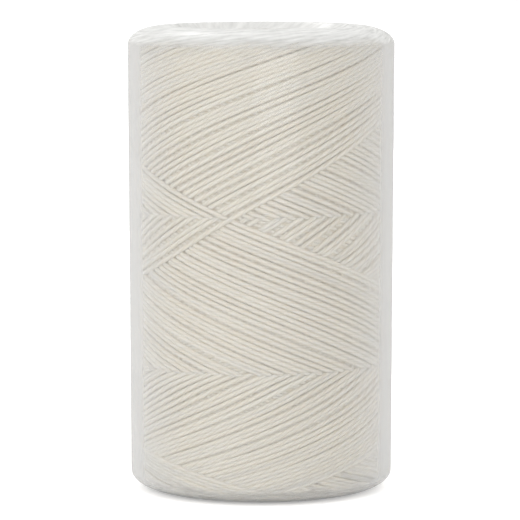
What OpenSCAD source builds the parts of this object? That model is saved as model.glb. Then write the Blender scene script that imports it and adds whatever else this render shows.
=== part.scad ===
// Cross-wound spool of waxed thread on a spiral paper tube, in a clear shrink sleeve.
// Millimetres, +Z up, origin at the centre of the base. Azimuth 0 faces -Y and grows
// counter-clockwise seen from above.

/* [Wound package] */
// Diameter over the sleeve
roll_d = 76; // [62:0.5:110]
// Height over the sleeve
roll_h = 133.5; // [100:0.5:200]
// Radial width of each rounded shoulder
shoulder_w = 10.4; // [6:0.1:12]
// Height of each rounded shoulder
shoulder_h = 5.3; // [4:0.1:8]
// Width of the flat ring that the package stands on
land_w = 2; // [1:0.1:4]
// Fall of the dished end faces, per millimetre towards the axis
dish_slope = 0.65; // [0:0.05:0.8]

/* [Paper tube] */
// Bore of the tube
core_bore_d = 38.1; // [25:0.1:46]
// Thickness of the smooth paper ply that lines the bore
liner_t = 0.4; // [0.2:0.05:0.8]
// Thickness of each of the two board plies
board_t = 0.75; // [0.4:0.05:1.2]
// Thickness of the outer cover ply
cover_t = 0.35; // [0.2:0.05:0.8]
// Adhesive line between two plies
glue_t = 0.03; // [0.02:0.01:0.1]
// Depth of the tube's ends below the end rings
core_recess = 2; // [0.5:0.1:4]

/* [Thread] */
// Diameter of the waxed thread
thread_d = 1.2; // [0.8:0.05:1.6]
// Length of the first end, which lies along the tube under the windings
tail_length = 70; // [30:1:90]
// Turns in one traverse, from one end of the package to the other
traverse_turns = 1.5; // [1.25:0.25:1.75]
// Turn of each double traverse past the one before, in degrees
traverse_shift = 45; // [40:1:60]
// Whole double traverses in the outer layer, before its last rising pass
double_traverses = 7; // [3:1:7]
// Azimuth of the outer layer's first turn-back at the base, in degrees
first_reversal = 166; // [0:1:360]
// Angle of winding in which the thread turns back, on each side of the turning point
reversal_width = 20; // [15:1:22]
// How much slower the traverse runs at the base end than at the top end
base_slowing = 0.22; // [0:0.01:0.3]
// How much slower the traverse runs at both ends than half way
end_slowing = 0.07; // [0:0.01:0.2]

/* [Shrink sleeve] */
// Thickness of the film
film_t = 0.1; // [0.05:0.01:0.2]
// Width of winding left bare between the tube and the film's cut edge
film_edge_gap = 2; // [1:0.1:6]

/* [Clearances] */
// Gap between the film and the windings
film_slack = 0.15; // [0.1:0.05:0.3]
// Gap between the tube and the first layer, and round the thread's first end
core_fit = 0.1; // [0.05:0.01:0.2]
// Gap between the falling and the rising turns where they cross
crossing_gap = 0.5; // [0.45:0.05:0.8]
// Gap between the outer layer and the layers under it
layer_seat = 0.05; // [0.02:0.01:0.1]

/* [Hidden] */

$fn = 96;
over = 1; // cuts run this far past the faces they open

kraft = [0.72, 0.58, 0.42];
liner_tan = [0.78, 0.68, 0.53];
ivory = [0.88, 0.86, 0.80];
clear_film = [0.93, 0.95, 0.96, 0.35];

roll_r = roll_d / 2;
land_outer_r = roll_r - shoulder_w;
land_inner_r = land_outer_r - land_w;
shoulder_steps = 10;

// paper tube, from the bore outwards
liner_r = core_bore_d / 2;
inner_board_r = liner_r + liner_t + glue_t;
outer_board_r = inner_board_r + board_t + glue_t;
cover_r = outer_board_r + board_t + glue_t;
core_r = cover_r + cover_t;
core_length = roll_h - 2 * core_recess;

// film edge and the layers of thread, from the sleeve inwards
film_edge_r = core_r + film_edge_gap;
rise_r = roll_r - film_t - film_slack - thread_d / 2;
fall_r = rise_r - thread_d - crossing_gap;
ring_step = 15; // angle between the rings of the wound tube
chord_sag = fall_r * (1 - cos(ring_step / 2));
inner_layers_r = fall_r - chord_sag - thread_d / 2 - layer_seat;
tube_sides = 6;

// outer layer: angle 0 is the first turn-back at the base
pass_angle = 360 * traverse_turns + traverse_shift / 2;
wind_low = shoulder_h;
wind_high = roll_h - shoulder_h;
crossing_step = traverse_shift / 2; // angle between two crossings along one pass
end_lead = 4.5 * crossing_step; // each end stands half way between two crossings
start_angle = end_lead;
end_angle = (2 * double_traverses + 1) * pass_angle - end_lead;
outer_turns = (end_angle - start_angle) / 360;
radius_change = 10; // angle beside a turn-back in which the tube changes its radius
bend_r = rise_r - inner_layers_r - layer_seat - thread_d;
bend_steps = 3;

function place(azimuth, r, z) = [r * sin(azimuth), -r * cos(azimuth), z];
function outward(azimuth) = [sin(azimuth), -cos(azimuth), 0];
function unit(v) = v / norm(v);
function clamp(x) = min(max(x, 0), 1);
function smooth(x) = x * x * (3 - 2 * x);

// share of the pass angle that is left after the turn-backs at both ends are rounded
function eased(a) = a < reversal_width ? a * a / (2 * reversal_width) : a - reversal_width / 2;
function pass_share(a) = let (whole = pass_angle - reversal_width)
    a < pass_angle / 2 ? eased(a) / whole : 1 - eased(pass_angle - a) / whole;
function climb(x) = x - base_slowing * sin(180 * x) / PI - end_slowing * sin(360 * x) / (2 * PI);

// a rising pass is on the outside of the falling ones
function rising(angle) = floor(angle / pass_angle) % 2 == 0;
function into_pass(angle) = angle - pass_angle * floor(angle / pass_angle);
function wind_z(angle) = let (
        a = rising(angle) ? into_pass(angle) : pass_angle - into_pass(angle)
    ) wind_low + (wind_high - wind_low) * climb(pass_share(a));
function wind_r(angle) = let (
        near = min(into_pass(angle), pass_angle - into_pass(angle)),
        share = smooth(clamp(0.5 + 0.5 * near / radius_change)),
        own = rising(angle) ? rise_r : fall_r,
        other = rising(angle) ? fall_r : rise_r
    ) other + (own - other) * share;
function wind_point(angle) = place(first_reversal + angle, wind_r(angle), wind_z(angle));

// each end stands on the inner layers, runs straight out for one diameter and bends into the turns
function end_run(angle, way) = let (
        out = outward(first_reversal + angle),
        along = way * unit(wind_point(angle + 1) - wind_point(angle - 1)),
        foot = place(first_reversal + angle, inner_layers_r + layer_seat, wind_z(angle)),
        knee = foot + thread_d * out
    ) [
        foot,
        knee,
        for (i = [1:bend_steps]) let (turn = 90 * i / bend_steps)
            knee + bend_r * ((1 - cos(turn)) * along + sin(turn) * out)
    ];
function reversed(list) = [for (i = [len(list) - 1:-1:0]) list[i]];

winding_path = [
    each end_run(start_angle, 1),
    for (angle = [start_angle + ring_step:ring_step:end_angle - ring_step]) wind_point(angle),
    each reversed(end_run(end_angle, -1))
];
last_ring = len(winding_path) - 1;

function ring_heading(i) =
    i < 2 ? unit(winding_path[1] - winding_path[0])
    : i > last_ring - 2 ? unit(winding_path[last_ring] - winding_path[last_ring - 1])
    : unit(winding_path[i + 1] - winding_path[i - 1]);
function ring_points(i) = let (
        heading = ring_heading(i),
        up = unit([0, 0, 1] - heading.z * heading),
        side = cross(heading, up)
    ) [
        for (k = [0:tube_sides - 1]) let (turn = 360 * k / tube_sides)
            winding_path[i] + thread_d / 2 * (cos(turn) * up + sin(turn) * side)
    ];

// least distance between two straight stretches of the thread's centre line
function stretch_gap(a, b, c, d) = let (
        u = b - a,
        v = d - c,
        w = a - c,
        spread = (u * u) * (v * v) - (u * v) * (u * v),
        s0 = spread > 0.001 ? clamp(((u * v) * (v * w) - (v * v) * (u * w)) / spread) : 0,
        t = clamp(((u * v) * s0 + v * w) / (v * v)),
        s = clamp(((u * v) * t - u * w) / (u * u))
    ) norm(w + s * u - t * v);
near_rings = 6; // stretches closer than this along the thread are neighbours, not crossings
reach = 6 * thread_d; // rings further apart than this in height are not compared
function least_gap() = min([
        for (i = [0:last_ring - 1 - near_rings])
            for (j = [i + near_rings:last_ring - 1])
                if (abs(winding_path[i].z - winding_path[j].z) < reach)
                    stretch_gap(
                        winding_path[i], winding_path[i + 1],
                        winding_path[j], winding_path[j + 1]
                    )
    ]) - thread_d;

// half section of the whole package, drawn in from its outside by inset
function package_section(inset) = let (
        low = inset,
        high = roll_h - inset,
        w = shoulder_w - inset,
        h = shoulder_h - inset,
        dish = land_inner_r * dish_slope
    ) [
        [0, low + dish],
        [land_inner_r, low],
        for (i = [0:shoulder_steps]) let (turn = 90 * i / shoulder_steps)
            [land_outer_r + w * sin(turn), low + h * (1 - cos(turn))],
        for (i = [0:shoulder_steps]) let (turn = 90 * i / shoulder_steps)
            [land_outer_r + w * cos(turn), high - h * (1 - sin(turn))],
        [land_inner_r, high],
        [0, high - dish]
    ];

module package(inset) {
    rotate_extrude() polygon(package_section(inset));
}

// one ply of the tube, from its inside radius outwards
module ply(inside_r, thickness) {
    translate([0, 0, core_recess]) difference() {
        cylinder(h = core_length, r = inside_r + thickness);
        translate([0, 0, -over]) cylinder(h = core_length + 2 * over, r = inside_r);
    }
}

// straight thread beside the tube, grown all round by extra
module tail_thread(extra) {
    translate([core_r + core_fit + thread_d / 2, 0, core_recess - extra])
        cylinder(h = tail_length + 2 * extra, d = thread_d + 2 * extra);
}

module core_liner_ply() {
    color(liner_tan) ply(liner_r, liner_t);
}

module core_inner_board() {
    color(kraft) ply(inner_board_r, board_t);
}

module core_outer_board() {
    color(kraft) ply(outer_board_r, board_t);
}

module core_cover_ply() {
    color(liner_tan) ply(cover_r, cover_t);
}

module thread_start_tail() {
    color(ivory) tail_thread(0);
}

// all the layers under the outer one, round the tube and the thread's first end
module thread_inner_layers() {
    color(ivory) difference() {
        intersection() {
            package(film_t + film_slack);
            cylinder(h = roll_h, r = inner_layers_r);
        }
        translate([0, 0, -over]) cylinder(h = roll_h + 2 * over, r = core_r + core_fit);
        tail_thread(core_fit);
    }
}

// one unbroken tube: rises outside, falls inside and turns back at each end
module thread_outer_winding() {
    echo(turns = outer_turns, rings = last_ring + 1, least_gap_mm = least_gap());
    color(ivory) polyhedron(
        points = [for (i = [0:last_ring]) each ring_points(i)],
        faces = [
            for (i = [0:last_ring - 1])
                for (k = [0:tube_sides - 1]) let (
                    a = i * tube_sides + k,
                    b = i * tube_sides + (k + 1) % tube_sides
                ) each [[a, b, a + tube_sides], [b, b + tube_sides, a + tube_sides]],
            for (k = [1:tube_sides - 2]) [0, k + 1, k],
            for (k = [1:tube_sides - 2]) let (first = last_ring * tube_sides)
                [first, first + k, first + k + 1]
        ]
    );
}

// thin film over the side, the shoulders and the rims, open round the tube
module shrink_sleeve() {
    color(clear_film) difference() {
        package(0);
        package(film_t);
        translate([0, 0, -over]) cylinder(h = roll_h + 2 * over, r = film_edge_r);
    }
}

core_liner_ply();
core_inner_board();
core_outer_board();
core_cover_ply();
thread_start_tail();
thread_inner_layers();
thread_outer_winding();
shrink_sleeve();
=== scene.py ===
import math
import random

import bpy
import numpy as np
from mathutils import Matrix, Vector


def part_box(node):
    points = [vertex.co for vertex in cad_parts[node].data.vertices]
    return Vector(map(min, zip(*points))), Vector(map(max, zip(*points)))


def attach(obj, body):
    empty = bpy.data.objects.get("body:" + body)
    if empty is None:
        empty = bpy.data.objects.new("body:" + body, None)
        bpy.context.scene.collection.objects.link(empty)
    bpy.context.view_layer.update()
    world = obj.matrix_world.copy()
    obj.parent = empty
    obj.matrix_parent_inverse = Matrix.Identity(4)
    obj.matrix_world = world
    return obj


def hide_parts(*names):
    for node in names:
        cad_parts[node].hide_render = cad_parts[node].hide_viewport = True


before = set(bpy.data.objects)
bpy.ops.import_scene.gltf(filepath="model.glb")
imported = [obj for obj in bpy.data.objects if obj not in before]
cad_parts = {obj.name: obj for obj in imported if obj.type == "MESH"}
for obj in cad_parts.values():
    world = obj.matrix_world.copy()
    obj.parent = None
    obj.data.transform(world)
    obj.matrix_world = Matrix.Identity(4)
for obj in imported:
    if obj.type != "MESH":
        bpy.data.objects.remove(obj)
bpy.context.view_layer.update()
scene = bpy.context.scene
scene.view_settings.view_transform = "Standard"
body = "root"
mm = 0.001

# the roll's own sizes, read from the frame
filmLow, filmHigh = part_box("shrink_sleeve")
rollRadius = (filmHigh.x - filmLow.x) / 2
rollHeight = filmHigh.z
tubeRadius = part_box("core_cover_ply")[1].x

# ends of the roll, as the construction has them; the roll widens a little towards its top
roll = {
    "shoulderWidth": 10.4 * mm,
    "shoulderHeight": 5.3 * mm,
    "landWidth": 2 * mm,
    "dishSlope": 0.65,
    "taper": 0.0182,
}


def tapered(z):
    # how much wider than its mean the roll is at height z
    return 1 + roll["taper"] * (z / rollHeight - 0.5)


# camera

cameraSettings = {
    "distance": 1.064,         # metres in front of the roll's axis
    "height": 0.177574,
    "pitch": 0.1046,           # radians below the horizon
    "lens": 256.9,
    "sensor": 36,
    "shiftX": -0.0022,
    "clip": (0.01, 20),
}


def addCamera(s):
    bpy.ops.object.camera_add(
        location=(0, -s["distance"], s["height"]),
        rotation=(math.pi / 2 - s["pitch"], 0, 0),
    )
    camera = bpy.context.object
    camera.data.sensor_width = s["sensor"]
    camera.data.lens = s["lens"]
    camera.data.shift_x = s["shiftX"]
    camera.data.clip_start, camera.data.clip_end = s["clip"]
    scene.camera = camera


addCamera(cameraSettings)
print("camera set")


# small helpers

def deselectAll():
    if bpy.context.object and bpy.context.object.mode != "OBJECT":
        bpy.ops.object.mode_set(mode="OBJECT")
    bpy.ops.object.select_all(action="DESELECT")


def makeActive(piece):
    deselectAll()
    piece.select_set(True)
    bpy.context.view_layer.objects.active = piece


def finishPiece(piece, material, slot, *nodes):
    piece.data.materials.clear()
    piece.data.materials.append(material)
    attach(piece, body)
    if nodes:
        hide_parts(*nodes)


def smoothStep(x):
    x = np.clip(x, 0, 1)
    return x * x * (3 - 2 * x)


def newMaterial(name):
    material = bpy.data.materials.new(name)
    material.use_nodes = True
    nodes = material.node_tree.nodes
    nodes.clear()
    out = nodes.new("ShaderNodeOutputMaterial")
    return material, nodes, material.node_tree.links, out


def mathNode(nodes, links, operation, a, b=None, clamp=False):
    node = nodes.new("ShaderNodeMath")
    node.operation = operation
    node.use_clamp = clamp
    for socket, value in zip(node.inputs, (a, b)):
        if value is None:
            continue
        if isinstance(value, (int, float)):
            socket.default_value = value
        else:
            links.new(value, socket)
    return node.outputs[0]


def rampNode(nodes, links, factor, stops):
    ramp = nodes.new("ShaderNodeValToRGB")
    ramp.color_ramp.elements[0].position = stops[0][0]
    ramp.color_ramp.elements[0].color = (*stops[0][1], 1)
    ramp.color_ramp.elements[1].position = stops[-1][0]
    ramp.color_ramp.elements[1].color = (*stops[-1][1], 1)
    for place, colour in stops[1:-1]:
        ramp.color_ramp.elements.new(place).color = (*colour, 1)
    links.new(factor, ramp.inputs[0])
    return ramp.outputs[0]


def mappingNode(nodes, links, vector, scale):
    mapping = nodes.new("ShaderNodeMapping")
    mapping.inputs["Scale"].default_value = scale
    links.new(vector, mapping.inputs[0])
    return mapping.outputs[0]


def multiplyTint(nodes, links, factor, colour, tint):
    mix = nodes.new("ShaderNodeMix")
    mix.data_type = "RGBA"
    mix.blend_type = "MULTIPLY"
    mix.inputs["Factor"].default_value = factor
    links.new(colour, mix.inputs["A"])
    links.new(tint, mix.inputs["B"])
    return mix.outputs["Result"]


def addBump(nodes, links, shader, height, strength, distance):
    bump = nodes.new("ShaderNodeBump")
    bump.inputs["Strength"].default_value = strength
    bump.inputs["Distance"].default_value = distance
    links.new(height, bump.inputs["Height"])
    links.new(bump.outputs[0], shader.inputs["Normal"])


def noiseNode(nodes, links, vector, scale=1.0, detail=2.0, roughness=0.5):
    noise = nodes.new("ShaderNodeTexNoise")
    noise.inputs["Scale"].default_value = scale
    noise.inputs["Detail"].default_value = detail
    noise.inputs["Roughness"].default_value = roughness
    links.new(vector, noise.inputs["Vector"])
    return noise.outputs["Fac"]


# thread

thread = {
    "diameter": 1.46 * mm,
    "plies": 3,
    "lay": 4.2 * mm,           # length in which the plies turn once round each other
    "cream": (0.845, 0.79, 0.69),
    "pale": (0.89, 0.85, 0.765),
    # painted shade: the colour darkens in the grooves between the plies
    "grooveShade": (0.74, 0.67, 0.56),
    "grooveShadeShare": 0.45,
    "fibreScale": (600, 14, 1),
    "fibreRelief": 0.35,       # height of the fibres over that of the plies
    "toneScale": (9, 0, 0),
    "bump": 0.75,
    "bumpDepth": 0.08 * mm,
    "roughness": ((0.3, (0.42,) * 3), (0.8, (0.62,) * 3)),
    "specular": 0.45,
    "glow": 0.45,              # share of light that spreads inside the fibres
    "glowRadius": (1.0, 0.9, 0.75),
    "glowReach": 1.1 * mm,
}


def threadMaterial(s):
    # u runs along the thread in metres, v goes once round it
    material, nodes, links, out = newMaterial("waxedThread")
    shader = nodes.new("ShaderNodeBsdfPrincipled")
    uv = nodes.new("ShaderNodeUVMap")
    uv.uv_map = "UVMap"
    split = nodes.new("ShaderNodeSeparateXYZ")
    links.new(uv.outputs[0], split.inputs[0])
    # plies twisted round each other: a groove where two of them meet, with real bump and a painted shade
    # darkening its colour
    along = mathNode(nodes, links, "DIVIDE", split.outputs[0], s["lay"])
    around = mathNode(nodes, links, "MULTIPLY", split.outputs[1], s["plies"])
    turn = mathNode(nodes, links, "MULTIPLY", mathNode(nodes, links, "ADD", along, around), math.pi)
    ply = mathNode(nodes, links, "ABSOLUTE", mathNode(nodes, links, "SINE", turn))
    # fibres drawn out along the thread
    stretched = mappingNode(nodes, links, uv.outputs[0], s["fibreScale"])
    fibre = noiseNode(nodes, links, stretched, detail=3.0, roughness=0.6)
    # slow change of tone along the thread
    tone = noiseNode(nodes, links, mappingNode(nodes, links, uv.outputs[0], s["toneScale"]))
    colour = rampNode(nodes, links, tone, [(0.3, s["cream"]), (0.7, s["pale"])])
    # painted shade along the ply grooves, multiplied into the thread's colour
    grooveShade = rampNode(nodes, links, ply, [(0.0, s["grooveShade"]), (0.45, (1, 1, 1))])
    colour = multiplyTint(nodes, links, s["grooveShadeShare"], colour, grooveShade)
    links.new(colour, shader.inputs["Base Color"])
    relief = mathNode(nodes, links, "MULTIPLY", fibre, s["fibreRelief"])
    height = mathNode(nodes, links, "ADD", ply, relief)
    addBump(nodes, links, shader, height, s["bump"], s["bumpDepth"])
    links.new(rampNode(nodes, links, fibre, s["roughness"]), shader.inputs["Roughness"])
    shader.inputs["Specular IOR Level"].default_value = s["specular"]
    shader.inputs["Subsurface Weight"].default_value = s["glow"]
    shader.inputs["Subsurface Radius"].default_value = s["glowRadius"]
    shader.inputs["Subsurface Scale"].default_value = s["glowReach"]
    links.new(shader.outputs[0], out.inputs[0])
    return material


def layThread(name, points, diameter, sides=8, breaks=None):
    # one closed tube for each run of points between breaks
    curve = bpy.data.curves.new(name, "CURVE")
    curve.dimensions = "3D"
    curve.twist_mode = "Z_UP"
    curve.bevel_depth = diameter / 2
    curve.bevel_resolution = sides // 2 - 2
    curve.use_fill_caps = True
    runs = np.split(points, breaks) if breaks is not None else [points]
    for run in runs:
        spline = curve.splines.new("POLY")
        spline.points.add(len(run) - 1)
        spline.points.foreach_set("co", np.c_[run, np.ones(len(run))].ravel())
    piece = bpy.data.objects.new(name, curve)
    scene.collection.objects.link(piece)
    makeActive(piece)
    bpy.ops.object.convert(target="MESH")
    mesh = piece.data
    # the converted map runs from 0 to 1 along each run: make it metres; many runs are alike
    uv = np.empty(len(mesh.loops) * 2)
    mesh.uv_layers[0].data.foreach_get("uv", uv)
    uv = uv.reshape(-1, 2)
    if len(runs) == 1:
        run = runs[0]
        length = np.r_[0, np.cumsum(np.linalg.norm(np.diff(run, axis=0), axis=1))]
        uv[:, 0] = np.interp(uv[:, 0] * (len(run) - 1), np.arange(len(run)), length)
    else:
        uv[:, 0] *= np.linalg.norm(np.diff(runs[0], axis=0), axis=1).sum()
    mesh.uv_layers[0].data.foreach_set("uv", uv.ravel())
    mesh.uv_layers[0].name = "UVMap"
    bpy.ops.object.shade_smooth_by_angle(angle=math.radians(60))
    return piece


# outer winding: one thread that falls and rises between the two ends

winding = {
    "cycles": 58,              # double passes that cover the roll once
    "turns": 3,                # whole turns in a double pass
    "risingPass": 531.3,       # degrees of turn from the base to the top
    "lastReversal": 4,         # azimuth of the newest turn-back at the base
    "low": 4.1 * mm,
    "high": 130.0 * mm,
    # degrees of turn for each millimetre of height, at even heights from the base to the top
    "risingPace": (6.02, 4.20, 3.14, 5.82, 4.69, 2.57, 3.03, 3.12, 4.12, 4.97),
    "fallingPace": (5.97, 8.17, 4.36, 3.69, 3.96, 3.99, 3.87, 3.96, 3.11, 2.49),
    "roundBase": 14,
    "roundTop": 16,
    "warp": 2.75,              # degrees by which the turns lag at the back
    "lean": 0.27 * mm,
    "outside": 37.62 * mm,     # radius over the outer turns
    "rise": 0.5,               # thread diameters from the lower turns to the upper ones
    "newestRise": 0.2 * mm,    # the last double pass lies on all the rest
    "settle": 60,              # degrees in which the newest pass climbs onto the rest
    "crossing": 1.15,          # crossings that a thread takes to go over or under
    "wander": 0.95,            # degrees
    "wanderStep": 85,
    "strayEnds": 0.35 * mm,
    "strayReach": 0.1,         # share of the height over which an end strays
    "shoulderInset": 0.35 * mm,
    "fineStep": 1.0,           # degrees between points where the thread rises or turns back
    "coarse": 3,               # fine steps between points elsewhere
    "levelStep": 0.004,        # change of level that keeps a fine step
    "turnBack": 2,             # degrees kept fine at each turn-back
    "heightSamples": 1201,
    "angleSamples": 4000,
    "pieces": 4,
}


def passShare(angle, total, s):
    # share of a pass done at an angle past the base turn-back, rounded at both ends
    low, high = s["roundBase"], s["roundTop"]
    whole = total - (low + high) / 2
    fromTop = total - angle
    start = np.where(angle < low, angle ** 2 / (2 * low), angle - low / 2)
    end = whole - np.where(fromTop < high, fromTop ** 2 / (2 * high), fromTop - high / 2)
    return np.where(angle < total / 2, start, end) / whole


def passHeight(angle, total, pace, s):
    heights = np.linspace(s["low"], s["high"], s["heightSamples"])
    stations = np.linspace(s["low"], s["high"], len(pace))
    turned = np.cumsum(np.interp(heights, stations, pace))
    turned = (turned - turned[0]) / (turned[-1] - turned[0])
    return np.interp(passShare(angle, total, s), turned, heights)


def angleAtHeight(z, total, pace, s):
    angles = np.linspace(0, total, s["angleSamples"])
    return np.interp(z, passHeight(angles, total, pace, s), angles)


def wander(theta, step, size):
    # slow random drift along the thread
    knots = np.array([random.gauss(0, size) for _ in range(int(theta[-1] / step) + 3)])
    place = theta / step
    low = np.floor(place).astype(int)
    t = smoothStep(place - low)
    return knots[low] * (1 - t) + knots[low + 1] * t


def windingPath(s):
    # centre line of the outer winding, and the places where its pieces may part
    random.seed(11)
    cycles, shift = s["cycles"], 360 / s["cycles"]
    double = 360 * s["turns"] + shift
    rising, falling = s["risingPass"], double - s["risingPass"]
    theta = np.arange(0, cycles * double, s["fineStep"])
    cycle = np.minimum(np.floor(theta / double), cycles - 1)
    inside = theta - cycle * double
    isFalling = inside < falling
    fromBase = np.where(isFalling, falling - inside, inside - falling)
    total = np.where(isFalling, falling, rising)
    direction = np.where(isFalling, -1, 1)
    azimuth = s["lastReversal"] + shift * (cycle - cycles + 1) + direction * fromBase
    azimuth = azimuth + wander(theta, s["wanderStep"], s["wander"])
    turn = np.radians(azimuth)
    bent = fromBase + direction * s["warp"] * (np.sin(turn) - math.sin(math.radians(s["lastReversal"])))
    bent = np.clip(bent, 0, total)
    z = np.where(
        isFalling,
        passHeight(bent, falling, s["fallingPace"], s),
        passHeight(bent, rising, s["risingPace"], s),
    )
    # crossings are counted from each row where a rising and a falling pass of one cycle meet
    met = angleAtHeight(z, rising, s["risingPace"], s) + angleAtHeight(z, falling, s["fallingPace"], s)
    count = met / shift % cycles
    # stray turn-backs: each end of each pass stops a little early or late
    strays = np.array([random.uniform(-1, 1) for _ in range(2 * cycles + 2)]) * s["strayEnds"]
    share = (z - s["low"]) / (s["high"] - s["low"])
    z = z + s["lean"] * np.sin(turn)
    reach = s["strayReach"]
    z = z + strays[cycle.astype(int)] * smoothStep((reach - share) / reach)
    topIndex = (cycle + np.where(isFalling, 0, 1)).astype(int) + cycles
    z = z - np.abs(strays[topIndex]) * smoothStep((share - (1 - reach)) / reach)
    w = s["crossing"]
    pastRow = smoothStep((count - 0.5) / w + 0.5)
    beforeRow = smoothStep((count - cycles - 0.5) / w + 0.5)
    between = pastRow - beforeRow
    risingUnder = between * (1 - smoothStep((count - (cycles - 0.5 - cycle)) / w + 0.5))
    fallingOver = between * (1 - smoothStep((count - cycle - 0.5) / w + 0.5))
    level = np.where(isFalling, fallingOver, 1 - risingUnder)
    top = s["outside"] - thread["diameter"] / 2
    radius = top - (1 - level) * s["rise"] * thread["diameter"]
    # towards the ends the turns follow the rounded shoulders
    shoulder = shoulderRadius(z, s["shoulderInset"])
    radius = np.minimum(radius, shoulder - thread["diameter"] * (0.5 + (1 - level) * s["rise"]))
    radius = radius + s["newestRise"] * smoothStep((theta - (cycles - 1) * double) / s["settle"])
    radius = radius * tapered(z)
    moving = np.abs(np.diff(level, prepend=level[0])) > s["levelStep"]
    turningBack = np.minimum(fromBase, total - fromBase) < s["turnBack"]
    keep = (np.arange(len(theta)) % s["coarse"] == 0) | moving | turningBack
    keep[-1] = True
    points = np.c_[radius * np.sin(turn), -radius * np.cos(turn), z][keep]
    baseTurns = np.flatnonzero(np.diff(isFalling[keep].astype(int)) == -1)
    return points, baseTurns


def shoulderRadius(z, inset):
    # outside radius of the windings at height z, under the film
    w = roll["shoulderWidth"] - inset
    h = roll["shoulderHeight"] - inset
    land = rollRadius - roll["shoulderWidth"]
    depth = np.minimum(z, rollHeight - z) - inset
    up = np.clip(1 - depth / h, 0, 1)
    return land + w * np.sqrt(1 - up ** 2)


threadLook = threadMaterial(thread)
path, partings = windingPath(winding)
cuts = [partings[int(round(len(partings) * k / winding["pieces"]))] for k in range(1, winding["pieces"])]
edges = [0, *cuts, len(path) - 1]
for number in range(winding["pieces"]):
    stretch = path[edges[number]:edges[number + 1] + 1]
    windingPiece = layThread(f"thread_winding_{number + 1}", stretch, thread["diameter"])
    stoodFor = ("thread_outer_winding",) if number == 0 else ()
    finishPiece(windingPiece, threadLook, "waxed_thread", *stoodFor)
    print(windingPiece.name, len(windingPiece.data.polygons), "faces")
print("outer winding laid,", len(path), "rings")


# lathe work: the bulk of the windings and the film are turned from half sections

def halfSection(inset, edgeRadius, sideRows=1, shoulderRows=10, dishRows=3):
    # half section of the wrapped roll, from the base's edge round to the top's edge
    w = roll["shoulderWidth"] - inset
    h = roll["shoulderHeight"] - inset
    landOut = rollRadius - roll["shoulderWidth"]
    landIn = landOut - roll["landWidth"]
    base = []
    for k in range(dishRows):
        r = edgeRadius + (landIn - edgeRadius) * k / dishRows
        base.append((r, inset + (landIn - r) * roll["dishSlope"]))
    base.append((landIn, inset))
    for k in range(shoulderRows + 1):
        turn = math.pi / 2 * k / shoulderRows
        base.append((landOut + w * math.sin(turn), inset + h * (1 - math.cos(turn))))
    side = []
    low, high = inset + h, rollHeight - inset - h
    for k in range(1, sideRows):
        side.append((rollRadius - inset, low + (high - low) * k / sideRows))
    return base + side + [(r, rollHeight - z) for r, z in reversed(base)]


def turnOnLathe(name, section, steps, closed=False):
    mesh = bpy.data.meshes.new(name)
    count = len(section)
    edgesOfSection = [(k, k + 1) for k in range(count - 1)]
    if closed:
        edgesOfSection.append((count - 1, 0))
    mesh.from_pydata([(r, 0, z) for r, z in section], edgesOfSection, [])
    piece = bpy.data.objects.new(name, mesh)
    scene.collection.objects.link(piece)
    makeActive(piece)
    bpy.ops.object.mode_set(mode="EDIT")
    bpy.ops.mesh.select_all(action="SELECT")
    bpy.ops.mesh.spin(steps=steps, angle=2 * math.pi, center=(0, 0, 0), axis=(0, 0, 1))
    bpy.ops.mesh.select_all(action="SELECT")
    bpy.ops.mesh.remove_doubles(threshold=1e-6)
    bpy.ops.mesh.normals_make_consistent(inside=False)
    bpy.ops.object.mode_set(mode="OBJECT")
    return piece


def readPoints(piece):
    co = np.empty(len(piece.data.vertices) * 3)
    piece.data.vertices.foreach_get("co", co)
    return co.reshape(-1, 3)


def writePoints(piece, co):
    piece.data.vertices.foreach_set("co", co.ravel())
    piece.data.update()


# bulk of the windings under the outer turns

bulk = {
    "under": 1.9 * mm,
    "sideRise": 0.35 * mm,     # closer under the turns between the shoulders
    "sideStart": 6 * mm,
    "sideEnd": 14 * mm,
    "sideRows": 24,
    "steps": 96,
    "tubeGap": 0.1 * mm,
    "strandScale": (120, 120, 900),
    "bumpDepth": 0.3 * mm,
    "roughness": 0.6,
    "colour": (0.86, 0.795, 0.675),
    "shade": (0.80, 0.735, 0.615),
}


def bulkMaterial(s):
    material, nodes, links, out = newMaterial("innerThread")
    shader = nodes.new("ShaderNodeBsdfPrincipled")
    place = nodes.new("ShaderNodeTexCoord")
    strands = noiseNode(nodes, links, mappingNode(nodes, links, place.outputs["Object"], s["strandScale"]))
    colour = rampNode(nodes, links, strands, [(0.35, s["shade"]), (0.62, s["colour"])])
    links.new(colour, shader.inputs["Base Color"])
    addBump(nodes, links, shader, strands, 1, s["bumpDepth"])
    shader.inputs["Roughness"].default_value = s["roughness"]
    links.new(shader.outputs[0], out.inputs[0])
    return material


def makeBulk(s):
    inner = tubeRadius + s["tubeGap"]
    outline = halfSection(s["under"], inner, sideRows=s["sideRows"])
    piece = turnOnLathe("thread_inner_windings", outline, s["steps"], closed=True)
    co = readPoints(piece)
    radius = np.hypot(co[:, 0], co[:, 1])
    fromEnd = np.minimum(co[:, 2], rollHeight - co[:, 2])
    rise = s["sideRise"] * smoothStep((fromEnd - s["sideStart"]) / (s["sideEnd"] - s["sideStart"]))
    rise = np.where(radius > (inner + rollRadius) / 2, rise, 0)
    co[:, :2] *= (tapered(co[:, 2]) * (radius + rise) / radius)[:, None]
    writePoints(piece, co)
    makeActive(piece)
    bpy.ops.object.shade_smooth_by_angle(angle=math.radians(40))
    return piece


bulkPiece = makeBulk(bulk)
finishPiece(bulkPiece, bulkMaterial(bulk), "waxed_thread", "thread_inner_layers")
print("bulk turned")


# turn-backs of the inner layers, which make up the two end faces

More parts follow.
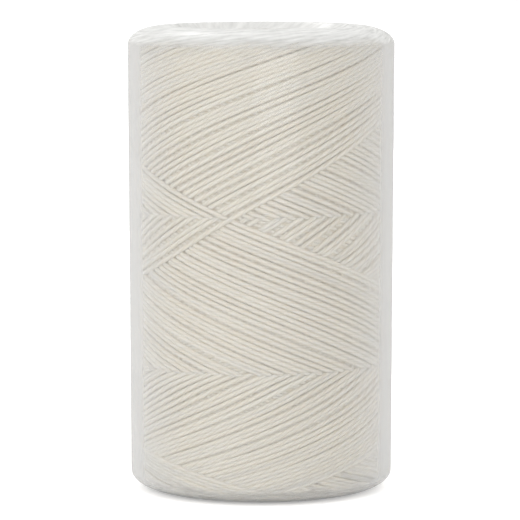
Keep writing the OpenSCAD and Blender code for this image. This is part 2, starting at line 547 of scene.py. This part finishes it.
endTurns = {
    "layers": 8,
    "perLayer": 62,
    "halfAngle": 27,
    "fall": 2.4 * mm,          # how far each end of a turn-back dips
    "stray": 0.9 * mm,
    "strayRadius": 0.15 * mm,
    "strayTurn": 2,            # degrees
    "tubeGap": 0.1 * mm,
    "rimInset": 1.2,           # thread diameters inside the outer turns
    "rimSlope": 0.999,         # share of the shoulder that the end face follows
    "cover": 0.3 * mm,
    "shingle": 0.9,            # thread diameters by which a turn-back goes inwards
    "rings": 13,
    "sides": 6,
}


def faceDepth(r, s):
    # depth of the end face below the end plane at radius r, under the film
    landOut = rollRadius - roll["shoulderWidth"]
    landIn = landOut - roll["landWidth"]
    dish = np.maximum(landIn - r, 0) * roll["dishSlope"]
    out = np.clip((r - landOut) / roll["shoulderWidth"], 0, s["rimSlope"])
    shoulder = roll["shoulderHeight"] * (1 - np.sqrt(1 - out ** 2))
    return dish + shoulder


def makeEndTurns(name, s, atTop):
    random.seed(23 if atTop else 29)
    inner = tubeRadius + s["tubeGap"] + thread["diameter"] / 2
    outer = winding["outside"] - s["rimInset"] * thread["diameter"]
    count = s["layers"] * s["perLayer"]
    angles = np.radians(np.linspace(-s["halfAngle"], s["halfAngle"], s["rings"]))
    runs = []
    for k in range(count):
        ring = inner + (outer - inner) * (k + 0.5) / count + random.uniform(-1, 1) * s["strayRadius"]
        azimuth = math.radians(k * 360 / s["perLayer"] + random.uniform(-1, 1) * s["strayTurn"])
        side = angles / angles[-1]
        r = ring - s["shingle"] * thread["diameter"] * side / 2
        r = np.clip(r, inner, outer)
        depth = faceDepth(r, s) + s["cover"] + thread["diameter"] / 2 + random.uniform(0, s["stray"])
        depth = depth + s["fall"] * side ** 2
        z = rollHeight - depth if atTop else depth
        grow = tapered(rollHeight if atTop else 0)
        runs.append(np.c_[r * grow * np.sin(azimuth + angles), -r * grow * np.cos(azimuth + angles), z])
    points = np.concatenate(runs)
    return layThread(name, points, thread["diameter"], s["sides"], np.arange(1, count) * s["rings"])


for name, atTop in (("end_turns_top", True), ("end_turns_base", False)):
    turns = makeEndTurns(name, endTurns, atTop)
    finishPiece(turns, threadLook, "waxed_thread")
    print(name, len(turns.data.polygons), "faces")


# the thread's first end, beside the tube

def makeFirstEnd(steps=20):
    low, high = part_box("thread_start_tail")
    x = (low.x + high.x) / 2
    points = np.array([(x, 0, low.z + (high.z - low.z) * k / steps) for k in range(steps + 1)])
    return layThread("thread_first_end", points, high.x - low.x)


firstEnd = makeFirstEnd()
finishPiece(firstEnd, threadLook, "waxed_thread", "thread_start_tail")
print("first end laid")


# paper tube: the construction's plies stay and take their paper

paper = {
    "fibreScale": (1400, 1400, 500),
    "cloudScale": 160,
    "fibreShare": 0.6,         # of the paper's tone; clouds make up the rest
    "seamWidth": 0.004,        # share of a turn
    "seamTint": 0.6,
    "bump": 0.5,
    "bumpDepth": 0.08 * mm,
    "roughness": 0.75,
    "liner": {"colour": (0.62, 0.52, 0.39), "fleck": (0.50, 0.40, 0.28), "seamPitch": 118 * mm},
    "board": {"colour": (0.45, 0.35, 0.24), "fleck": (0.33, 0.25, 0.16), "seamPitch": 0},
    "cover": {"colour": (0.70, 0.64, 0.54), "fleck": (0.58, 0.51, 0.40), "seamPitch": 118 * mm},
}


def paperMaterial(name, s, ply):
    material, nodes, links, out = newMaterial(name)
    shader = nodes.new("ShaderNodeBsdfPrincipled")
    place = nodes.new("ShaderNodeTexCoord")
    stretched = mappingNode(nodes, links, place.outputs["Object"], s["fibreScale"])
    fibre = noiseNode(nodes, links, stretched, detail=4.0, roughness=0.65)
    cloud = noiseNode(nodes, links, place.outputs["Object"], s["cloudScale"], 3.0)
    fibreTone = mathNode(nodes, links, "MULTIPLY", fibre, s["fibreShare"])
    cloudTone = mathNode(nodes, links, "MULTIPLY", cloud, 1 - s["fibreShare"])
    tone = mathNode(nodes, links, "ADD", fibreTone, cloudTone)
    colour = rampNode(nodes, links, tone, [(0.35, ply["fleck"]), (0.6, ply["colour"])])
    height = fibre
    if ply["seamPitch"]:
        # butt joint of the spiral strip
        split = nodes.new("ShaderNodeSeparateXYZ")
        links.new(place.outputs["Object"], split.inputs[0])
        turn = mathNode(nodes, links, "ARCTAN2", split.outputs[1], split.outputs[0])
        turn = mathNode(nodes, links, "DIVIDE", turn, 2 * math.pi)
        climb = mathNode(nodes, links, "DIVIDE", split.outputs[2], ply["seamPitch"])
        phase = mathNode(nodes, links, "FRACT", mathNode(nodes, links, "ADD", turn, climb))
        off = mathNode(nodes, links, "ABSOLUTE", mathNode(nodes, links, "SUBTRACT", phase, 0.5))
        seam = rampNode(nodes, links, off, [(0.0, (0, 0, 0)), (s["seamWidth"], (1, 1, 1))])
        colour = multiplyTint(nodes, links, s["seamTint"], colour, seam)
        height = mathNode(nodes, links, "ADD", fibre, seam)
    links.new(colour, shader.inputs["Base Color"])
    addBump(nodes, links, shader, height, s["bump"], s["bumpDepth"])
    shader.inputs["Roughness"].default_value = s["roughness"]
    links.new(shader.outputs[0], out.inputs[0])
    return material


linerLook = paperMaterial("linerPaper", paper, paper["liner"])
boardLook = paperMaterial("coreBoard", paper, paper["board"])
coverLook = paperMaterial("coverPaper", paper, paper["cover"])
plyLooks = {
    "core_liner_ply": linerLook,
    "core_inner_board": boardLook,
    "core_outer_board": boardLook,
    "core_cover_ply": coverLook,
}
for nodeName, look in plyLooks.items():
    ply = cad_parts[nodeName]
    ply.data.materials.clear()
    ply.data.materials.append(look)
print("paper tube finished")


# shrink film

film = {
    "thickness": 0.1 * mm,
    "edgeRadius": 22.1 * mm,
    "steps": 384,
    "sideRows": 44,
    "shoulderRows": 16,
    "dishRows": 5,
    "pleats": (19, 31, 47, 68),
    "pleatDepth": 0.16 * mm,
    "pleatStart": 0.5 * mm,    # outside the roll's radius
    "pleatGap": 3 * mm,        # pleats fade out on the flat land
    "ripple": 0.05 * mm,
    "ripples": 7,
    "rippleClimb": (60, 420),  # radians for each metre of height
    "edgeWave": 0.3 * mm,
    "edgeWaves": (2, 3, 5, 8, 13, 21),
    "edgeReach": 2.2 * mm,
    "phaseMost": 6.28,
    "roughness": 0.16,
    "haze": 0.06,
    # partly haze, partly a painted reflection band along the edges
    "edgeHazePaintedBand": 0.45,
    "hazeStops": ((0.22, 0), (0.555, 0.5), (0.63, 1)),
    "gatherHaze": 0.83,
    "gatherStart": 5.9 * mm,   # depth at which the film begins to gather
    "gatherWidth": 4.8 * mm,
    "gatherStreaks": 3.4,      # how unevenly the creases spread the gathered haze
    "streakFade": 1.25,        # amount of gathering at which the streaks are gone
    "pleatHaze": 0.05,
    "baseShare": 0.15,         # the base end is drawn tighter and stays clearer
    "gatherMatt": 0.7,         # how much less the gathered film mirrors
    "gatherBump": 3.5,
    # painted light: whiter milk on the gathered ends, for the light from above
    "tint": (0.92, 0.92, 0.90),
    # painted reflection: grey milk of the bands along the sides
    "paintedBandTint": (0.71, 0.71, 0.71),
    "tintRise": 3.0,           # how fast the tint follows the gathering
    "slantStart": 0.555,       # 1 - cosine of the slant at which the mirroring changes
    "slantEnd": 0.63,
    "mirrorFront": 0.04,
    "mirrorMost": 0.2,         # cap on the mirroring at a slant
    "frontGloss": 0.6,
    "slantGloss": 0.38,
    "creaseSlope": 15,
    "creaseLength": 9 * mm,
    "creaseWidth": 1.5 * mm,
    "creaseBump": 0.6,
    "creaseDepth": 0.07 * mm,
    "curlRadius": 0.22 * mm,
    "curlTurn": 250,
}


def filmMaterial(s):
    material, nodes, links, out = newMaterial("shrinkFilm")
    facing = nodes.new("ShaderNodeLayerWeight")
    facing.inputs["Blend"].default_value = 0.5
    slant = facing.outputs["Facing"]
    clear = nodes.new("ShaderNodeBsdfTransparent")
    milky = nodes.new("ShaderNodeBsdfDiffuse")
    gloss = nodes.new("ShaderNodeBsdfGlossy")
    gloss.inputs["Roughness"].default_value = s["roughness"]
    gloss.inputs["Color"].default_value = (1, 1, 1, 1)
    # shallow creases that follow the turns underneath; u and v are metres on the film
    uv = nodes.new("ShaderNodeUVMap")
    uv.uv_map = "UVMap"
    creases = nodes.new("ShaderNodeMapping")
    creases.vector_type = "TEXTURE"
    creases.inputs["Rotation"].default_value = (0, 0, math.radians(s["creaseSlope"]))
    creases.inputs["Scale"].default_value = (s["creaseLength"], s["creaseWidth"], 1)
    links.new(uv.outputs[0], creases.inputs[0])
    bump = nodes.new("ShaderNodeBump")
    bump.inputs["Strength"].default_value = s["creaseBump"]
    bump.inputs["Distance"].default_value = s["creaseDepth"]
    gather = nodes.new("ShaderNodeAttribute")
    gather.attribute_name = "gather"
    # painted light: the milk is whiter where the film gathers at the ends, standing in for the light from
    # above, and greyer at its sides, where it sets the painted reflection bands
    milkTintPaintedLight = nodes.new("ShaderNodeMix")
    milkTintPaintedLight.data_type = "RGBA"
    milkTintPaintedLight.inputs["A"].default_value = (*s["paintedBandTint"], 1)
    milkTintPaintedLight.inputs["B"].default_value = (*s["tint"], 1)
    paintedLightShare = mathNode(nodes, links, "MULTIPLY", gather.outputs["Fac"], s["tintRise"], clamp=True)
    links.new(paintedLightShare, milkTintPaintedLight.inputs["Factor"])
    links.new(milkTintPaintedLight.outputs["Result"], milky.inputs["Color"])
    crease = noiseNode(nodes, links, creases.outputs[0])
    deeper = mathNode(nodes, links, "MULTIPLY", gather.outputs["Fac"], s["gatherBump"])
    deeper = mathNode(nodes, links, "ADD", deeper, 1.0)
    links.new(mathNode(nodes, links, "MULTIPLY", crease, deeper), bump.inputs["Height"])
    links.new(bump.outputs[0], gloss.inputs["Normal"])
    # the film turns milky at a slant, in a sharp band along its edges: partly the film's haze, partly a
    # painted reflection of the side light
    side = nodes.new("ShaderNodeAttribute")
    side.attribute_name = "side"
    paintedBandShape = rampNode(nodes, links, slant, [(at, (share,) * 3) for at, share in s["hazeStops"]])
    edgeHazePaintedBand = mathNode(nodes, links, "MULTIPLY", paintedBandShape, s["edgeHazePaintedBand"])
    edgeHazePaintedBand = mathNode(nodes, links, "MULTIPLY", edgeHazePaintedBand, side.outputs["Fac"])
    # the gathered haze is streaky where it fades out
    streak = mathNode(nodes, links, "SUBTRACT", crease, 0.5)
    fading = mathNode(nodes, links, "SUBTRACT", s["streakFade"], gather.outputs["Fac"])
    streak = mathNode(nodes, links, "MULTIPLY", streak, fading)
    streak = mathNode(nodes, links, "MULTIPLY", streak, s["gatherStreaks"])
    streak = mathNode(nodes, links, "ADD", streak, 1.0)
    gatherHaze = mathNode(nodes, links, "MULTIPLY", gather.outputs["Fac"], s["gatherHaze"])
    gatherHaze = mathNode(nodes, links, "MULTIPLY", gatherHaze, streak)
    haze = mathNode(nodes, links, "ADD", edgeHazePaintedBand, gatherHaze)
    haze = mathNode(nodes, links, "ADD", haze, s["haze"], clamp=True)
    body = nodes.new("ShaderNodeMixShader")
    links.new(haze, body.inputs[0])
    links.new(clear.outputs[0], body.inputs[1])
    links.new(milky.outputs[0], body.inputs[2])
    # it mirrors more at a slant, up to a cap, and less where it gathers
    mirror = mathNode(nodes, links, "POWER", slant, 5.0)
    mirror = mathNode(nodes, links, "MULTIPLY", mirror, 1 - s["mirrorFront"])
    mirror = mathNode(nodes, links, "ADD", mirror, s["mirrorFront"])
    mirror = mathNode(nodes, links, "MINIMUM", mirror, s["mirrorMost"])
    turned = nodes.new("ShaderNodeMapRange")
    turned.interpolation_type = "SMOOTHSTEP"
    turned.inputs["From Min"].default_value = s["slantStart"]
    turned.inputs["From Max"].default_value = s["slantEnd"]
    links.new(slant, turned.inputs["Value"])
    share = mathNode(nodes, links, "MULTIPLY", turned.outputs[0], s["slantGloss"] - s["frontGloss"])
    share = mathNode(nodes, links, "ADD", share, s["frontGloss"])
    mirror = mathNode(nodes, links, "MULTIPLY", mirror, share)
    matt = mathNode(nodes, links, "MULTIPLY", gather.outputs["Fac"], -s["gatherMatt"])
    mirror = mathNode(nodes, links, "MULTIPLY", mirror, mathNode(nodes, links, "ADD", matt, 1.0))
    surface = nodes.new("ShaderNodeMixShader")
    links.new(mirror, surface.inputs[0])
    links.new(body.outputs[0], surface.inputs[1])
    links.new(gloss.outputs[0], surface.inputs[2])
    links.new(surface.outputs[0], out.inputs[0])
    return material


def curledEdge(s, steps=8):
    # the cut edge rolls up as the film shrinks: points from its rim to where it leaves the dish
    landIn = rollRadius - roll["shoulderWidth"] - roll["landWidth"]
    edge = np.array([s["edgeRadius"], (landIn - s["edgeRadius"]) * roll["dishSlope"]])
    down = np.array([-1, roll["dishSlope"]]) / math.hypot(1, roll["dishSlope"])
    away = np.array([-down[1], down[0]])
    centre = edge + away * s["curlRadius"]
    points = []
    for k in range(steps, 0, -1):
        turn = math.radians(s["curlTurn"] * k / steps)
        points.append(tuple(centre + s["curlRadius"] * (down * math.sin(turn) - away * math.cos(turn))))
    return points


def makeFilm(s):
    random.seed(41)
    outline = halfSection(0, s["edgeRadius"], s["sideRows"], s["shoulderRows"], s["dishRows"])
    curl = curledEdge(s)
    outline = curl + outline + [(r, rollHeight - z) for r, z in reversed(curl)]
    piece = turnOnLathe("shrink_film", outline, s["steps"])
    co = readPoints(piece)
    radius = np.hypot(co[:, 0], co[:, 1])
    azimuth = np.arctan2(co[:, 0], -co[:, 1])
    z = co[:, 2]
    atEnd = np.minimum(z, rollHeight - z)
    # pleats gather over the shoulders towards the opening
    isTop = z > rollHeight / 2
    onShoulder = smoothStep((rollRadius + s["pleatStart"] - radius) / roll["shoulderWidth"])
    pleat = np.zeros(len(co))
    for waves in s["pleats"]:
        topPhase, basePhase = random.uniform(0, 2 * math.pi), random.uniform(0, 2 * math.pi)
        phase = np.where(isTop, topPhase, basePhase)
        pleat += (1 - np.abs(np.sin(waves * azimuth + phase))) ** 2 / len(s["pleats"])
    landMiddle = rollRadius - roll["shoulderWidth"] - roll["landWidth"] / 2
    offLand = smoothStep(np.abs(radius - landMiddle) / s["pleatGap"])
    inwards = s["pleatDepth"] * onShoulder * pleat * offLand
    # the side is pulled tight over the turns
    ripple = np.zeros(len(co))
    for _ in range(s["ripples"]):
        a, b = random.randint(1, 9), random.uniform(*s["rippleClimb"])
        ripple += np.sin(a * azimuth + b * z + random.uniform(0, s["phaseMost"])) / s["ripples"]
    inwards = inwards + s["ripple"] * (1 + ripple) * (1 - onShoulder)
    # the cut edge waves in and out, less at the shorter waves
    wave = sum(
        np.sin(n * azimuth + random.uniform(0, s["phaseMost"])) / (1 + n / 6) for n in s["edgeWaves"]
    ) / 3
    nearEdge = smoothStep((s["edgeRadius"] + s["edgeReach"] - radius) / s["edgeReach"])
    slide = s["edgeWave"] * wave * nearEdge
    # move along the surface near the edge, and inwards elsewhere
    outwardR = np.cos(np.arcsin(np.clip(1 - atEnd / roll["shoulderHeight"], 0, 1)))
    newRadius = radius - inwards * outwardR + slide
    direction = np.where(isTop, -1, 1)
    newZ = z + direction * inwards * (1 - outwardR) - direction * slide * roll["dishSlope"]
    grow = tapered(newZ)
    co[:, 0] = newRadius * grow * np.sin(azimuth)
    co[:, 1] = -newRadius * grow * np.cos(azimuth)
    co[:, 2] = np.clip(newZ, 0, rollHeight)
    writePoints(piece, co)
    # how much the film has gathered, for its haze
    gathering = smoothStep((s["gatherStart"] - atEnd) / s["gatherWidth"])
    onDish = smoothStep((rollRadius - roll["shoulderWidth"] - radius) / roll["landWidth"])
    side = piece.data.attributes.new("side", "FLOAT", "POINT")
    side.data.foreach_set("value", 1 - gathering)
    gathering = np.maximum(gathering, onDish) * (1 - s["pleatHaze"] + s["pleatHaze"] * 2 * pleat)
    gathering = np.clip(gathering * np.where(isTop, 1, s["baseShare"]), 0, 1)
    gathered = piece.data.attributes.new("gather", "FLOAT", "POINT")
    gathered.data.foreach_set("value", gathering)
    # metres round and along the film, for its creases; a face across the back stays whole
    along = z - direction * (rollRadius - radius)
    layer = piece.data.uv_layers.new(name="UVMap")
    corner = np.empty(len(piece.data.loops), dtype=int)
    piece.data.loops.foreach_get("vertex_index", corner)
    around = azimuth[corner].reshape(-1, 4)
    around = np.where(around.max(axis=1, keepdims=True) - around > math.pi, around + 2 * math.pi, around)
    layer.data.foreach_set("uv", np.c_[around.ravel() * rollRadius, along[corner]].ravel())
    makeActive(piece)
    wall = piece.modifiers.new("wall", "SOLIDIFY")
    wall.thickness = s["thickness"]
    wall.offset = -1
    bpy.ops.object.modifier_apply(modifier="wall")
    bpy.ops.object.shade_smooth_by_angle(angle=math.radians(50))
    return piece


filmPiece = makeFilm(film)
finishPiece(filmPiece, filmMaterial(film), "clear_film", "shrink_sleeve")
print("film drawn over,", len(filmPiece.data.polygons), "faces")


# floor, world and lamps

studio = {
    "floorSize": 8.0,
    "floorColour": (0.92, 0.92, 0.92),
    # painted shadow: the glow is lower in a ring close round the base
    "paintedShadowGlow": 0.36,          # seen by the camera and in reflections only
    "farGlow": 0.62,
    "glowStart": 28 * mm,
    "glowEnd": 41.5 * mm,
    "worldFill": 0.85,
    "key": {"energy": 2.3, "size": 0.9, "place": (-0.72, -0.94, 0.60)},
    "top": {"energy": 1.9, "size": 0.26, "place": (-0.24, 0.85, 0.85)},
    "low": {"energy": 1.4, "size": 0.7, "place": (0.25, -1.08, 0.05)},
}


def makeFloor(s):
    deselectAll()
    bpy.ops.mesh.primitive_plane_add(size=s["floorSize"], location=(0, 0, 0))
    floor = bpy.context.object
    floor.name = "floor"
    material, nodes, links, out = newMaterial("paleFloor")
    lit = nodes.new("ShaderNodeBsdfDiffuse")
    lit.inputs["Color"].default_value = (*s["floorColour"], 1)
    glow = nodes.new("ShaderNodeEmission")
    glow.inputs["Color"].default_value = (1, 1, 1, 1)
    # white away from the roll; close by, the glow drops to a lower level, a painted shadow ring round the
    # base that deepens the real shadow
    seen = nodes.new("ShaderNodeLightPath")
    place = nodes.new("ShaderNodeTexCoord")
    reach = nodes.new("ShaderNodeVectorMath")
    reach.operation = "LENGTH"
    links.new(place.outputs["Object"], reach.inputs[0])
    away = nodes.new("ShaderNodeMapRange")
    away.interpolation_type = "SMOOTHSTEP"
    away.inputs["From Min"].default_value = s["glowStart"]
    away.inputs["From Max"].default_value = s["glowEnd"]
    away.inputs["To Min"].default_value = s["paintedShadowGlow"]
    away.inputs["To Max"].default_value = s["farGlow"]
    links.new(reach.outputs["Value"], away.inputs["Value"])
    shown = mathNode(nodes, links, "MAXIMUM", seen.outputs["Is Camera Ray"], seen.outputs["Is Glossy Ray"])
    strength = mathNode(nodes, links, "MULTIPLY", shown, away.outputs[0])
    links.new(strength, glow.inputs["Strength"])
    both = nodes.new("ShaderNodeAddShader")
    links.new(lit.outputs[0], both.inputs[0])
    links.new(glow.outputs[0], both.inputs[1])
    links.new(both.outputs[0], out.inputs[0])
    floor.data.materials.append(material)


def makeWorld(s):
    world = bpy.data.worlds.new("studio")
    scene.world = world
    world.use_nodes = True
    nodes, links = world.node_tree.nodes, world.node_tree.links
    nodes.clear()
    out = nodes.new("ShaderNodeOutputWorld")
    fill = nodes.new("ShaderNodeBackground")
    fill.inputs["Color"].default_value = (1, 1, 1, 1)
    fill.inputs["Strength"].default_value = s["worldFill"]
    white = nodes.new("ShaderNodeBackground")
    white.inputs["Color"].default_value = (1, 1, 1, 1)
    white.inputs["Strength"].default_value = 1
    seen = nodes.new("ShaderNodeLightPath")
    share = mathNode(nodes, links, "MAXIMUM", seen.outputs["Is Camera Ray"], seen.outputs["Is Glossy Ray"])
    share = mathNode(nodes, links, "MAXIMUM", share, seen.outputs["Is Transmission Ray"])
    mix = nodes.new("ShaderNodeMixShader")
    links.new(share, mix.inputs[0])
    links.new(fill.outputs[0], mix.inputs[1])
    links.new(white.outputs[0], mix.inputs[2])
    links.new(mix.outputs[0], out.inputs[0])


def addLamp(name, s):
    aim = Vector((0, 0, rollHeight / 2)) - Vector(s["place"])
    bpy.ops.object.light_add(type="AREA", location=s["place"])
    lamp = bpy.context.object
    lamp.name = name
    lamp.rotation_euler = aim.to_track_quat("-Z", "Y").to_euler()
    lamp.data.shape = "DISK"
    lamp.data.size = s["size"]
    lamp.data.energy = s["energy"]


makeFloor(studio)
makeWorld(studio)
for lampName in ("key", "top", "low"):
    addLamp(lampName, studio[lampName])
print("studio lit")
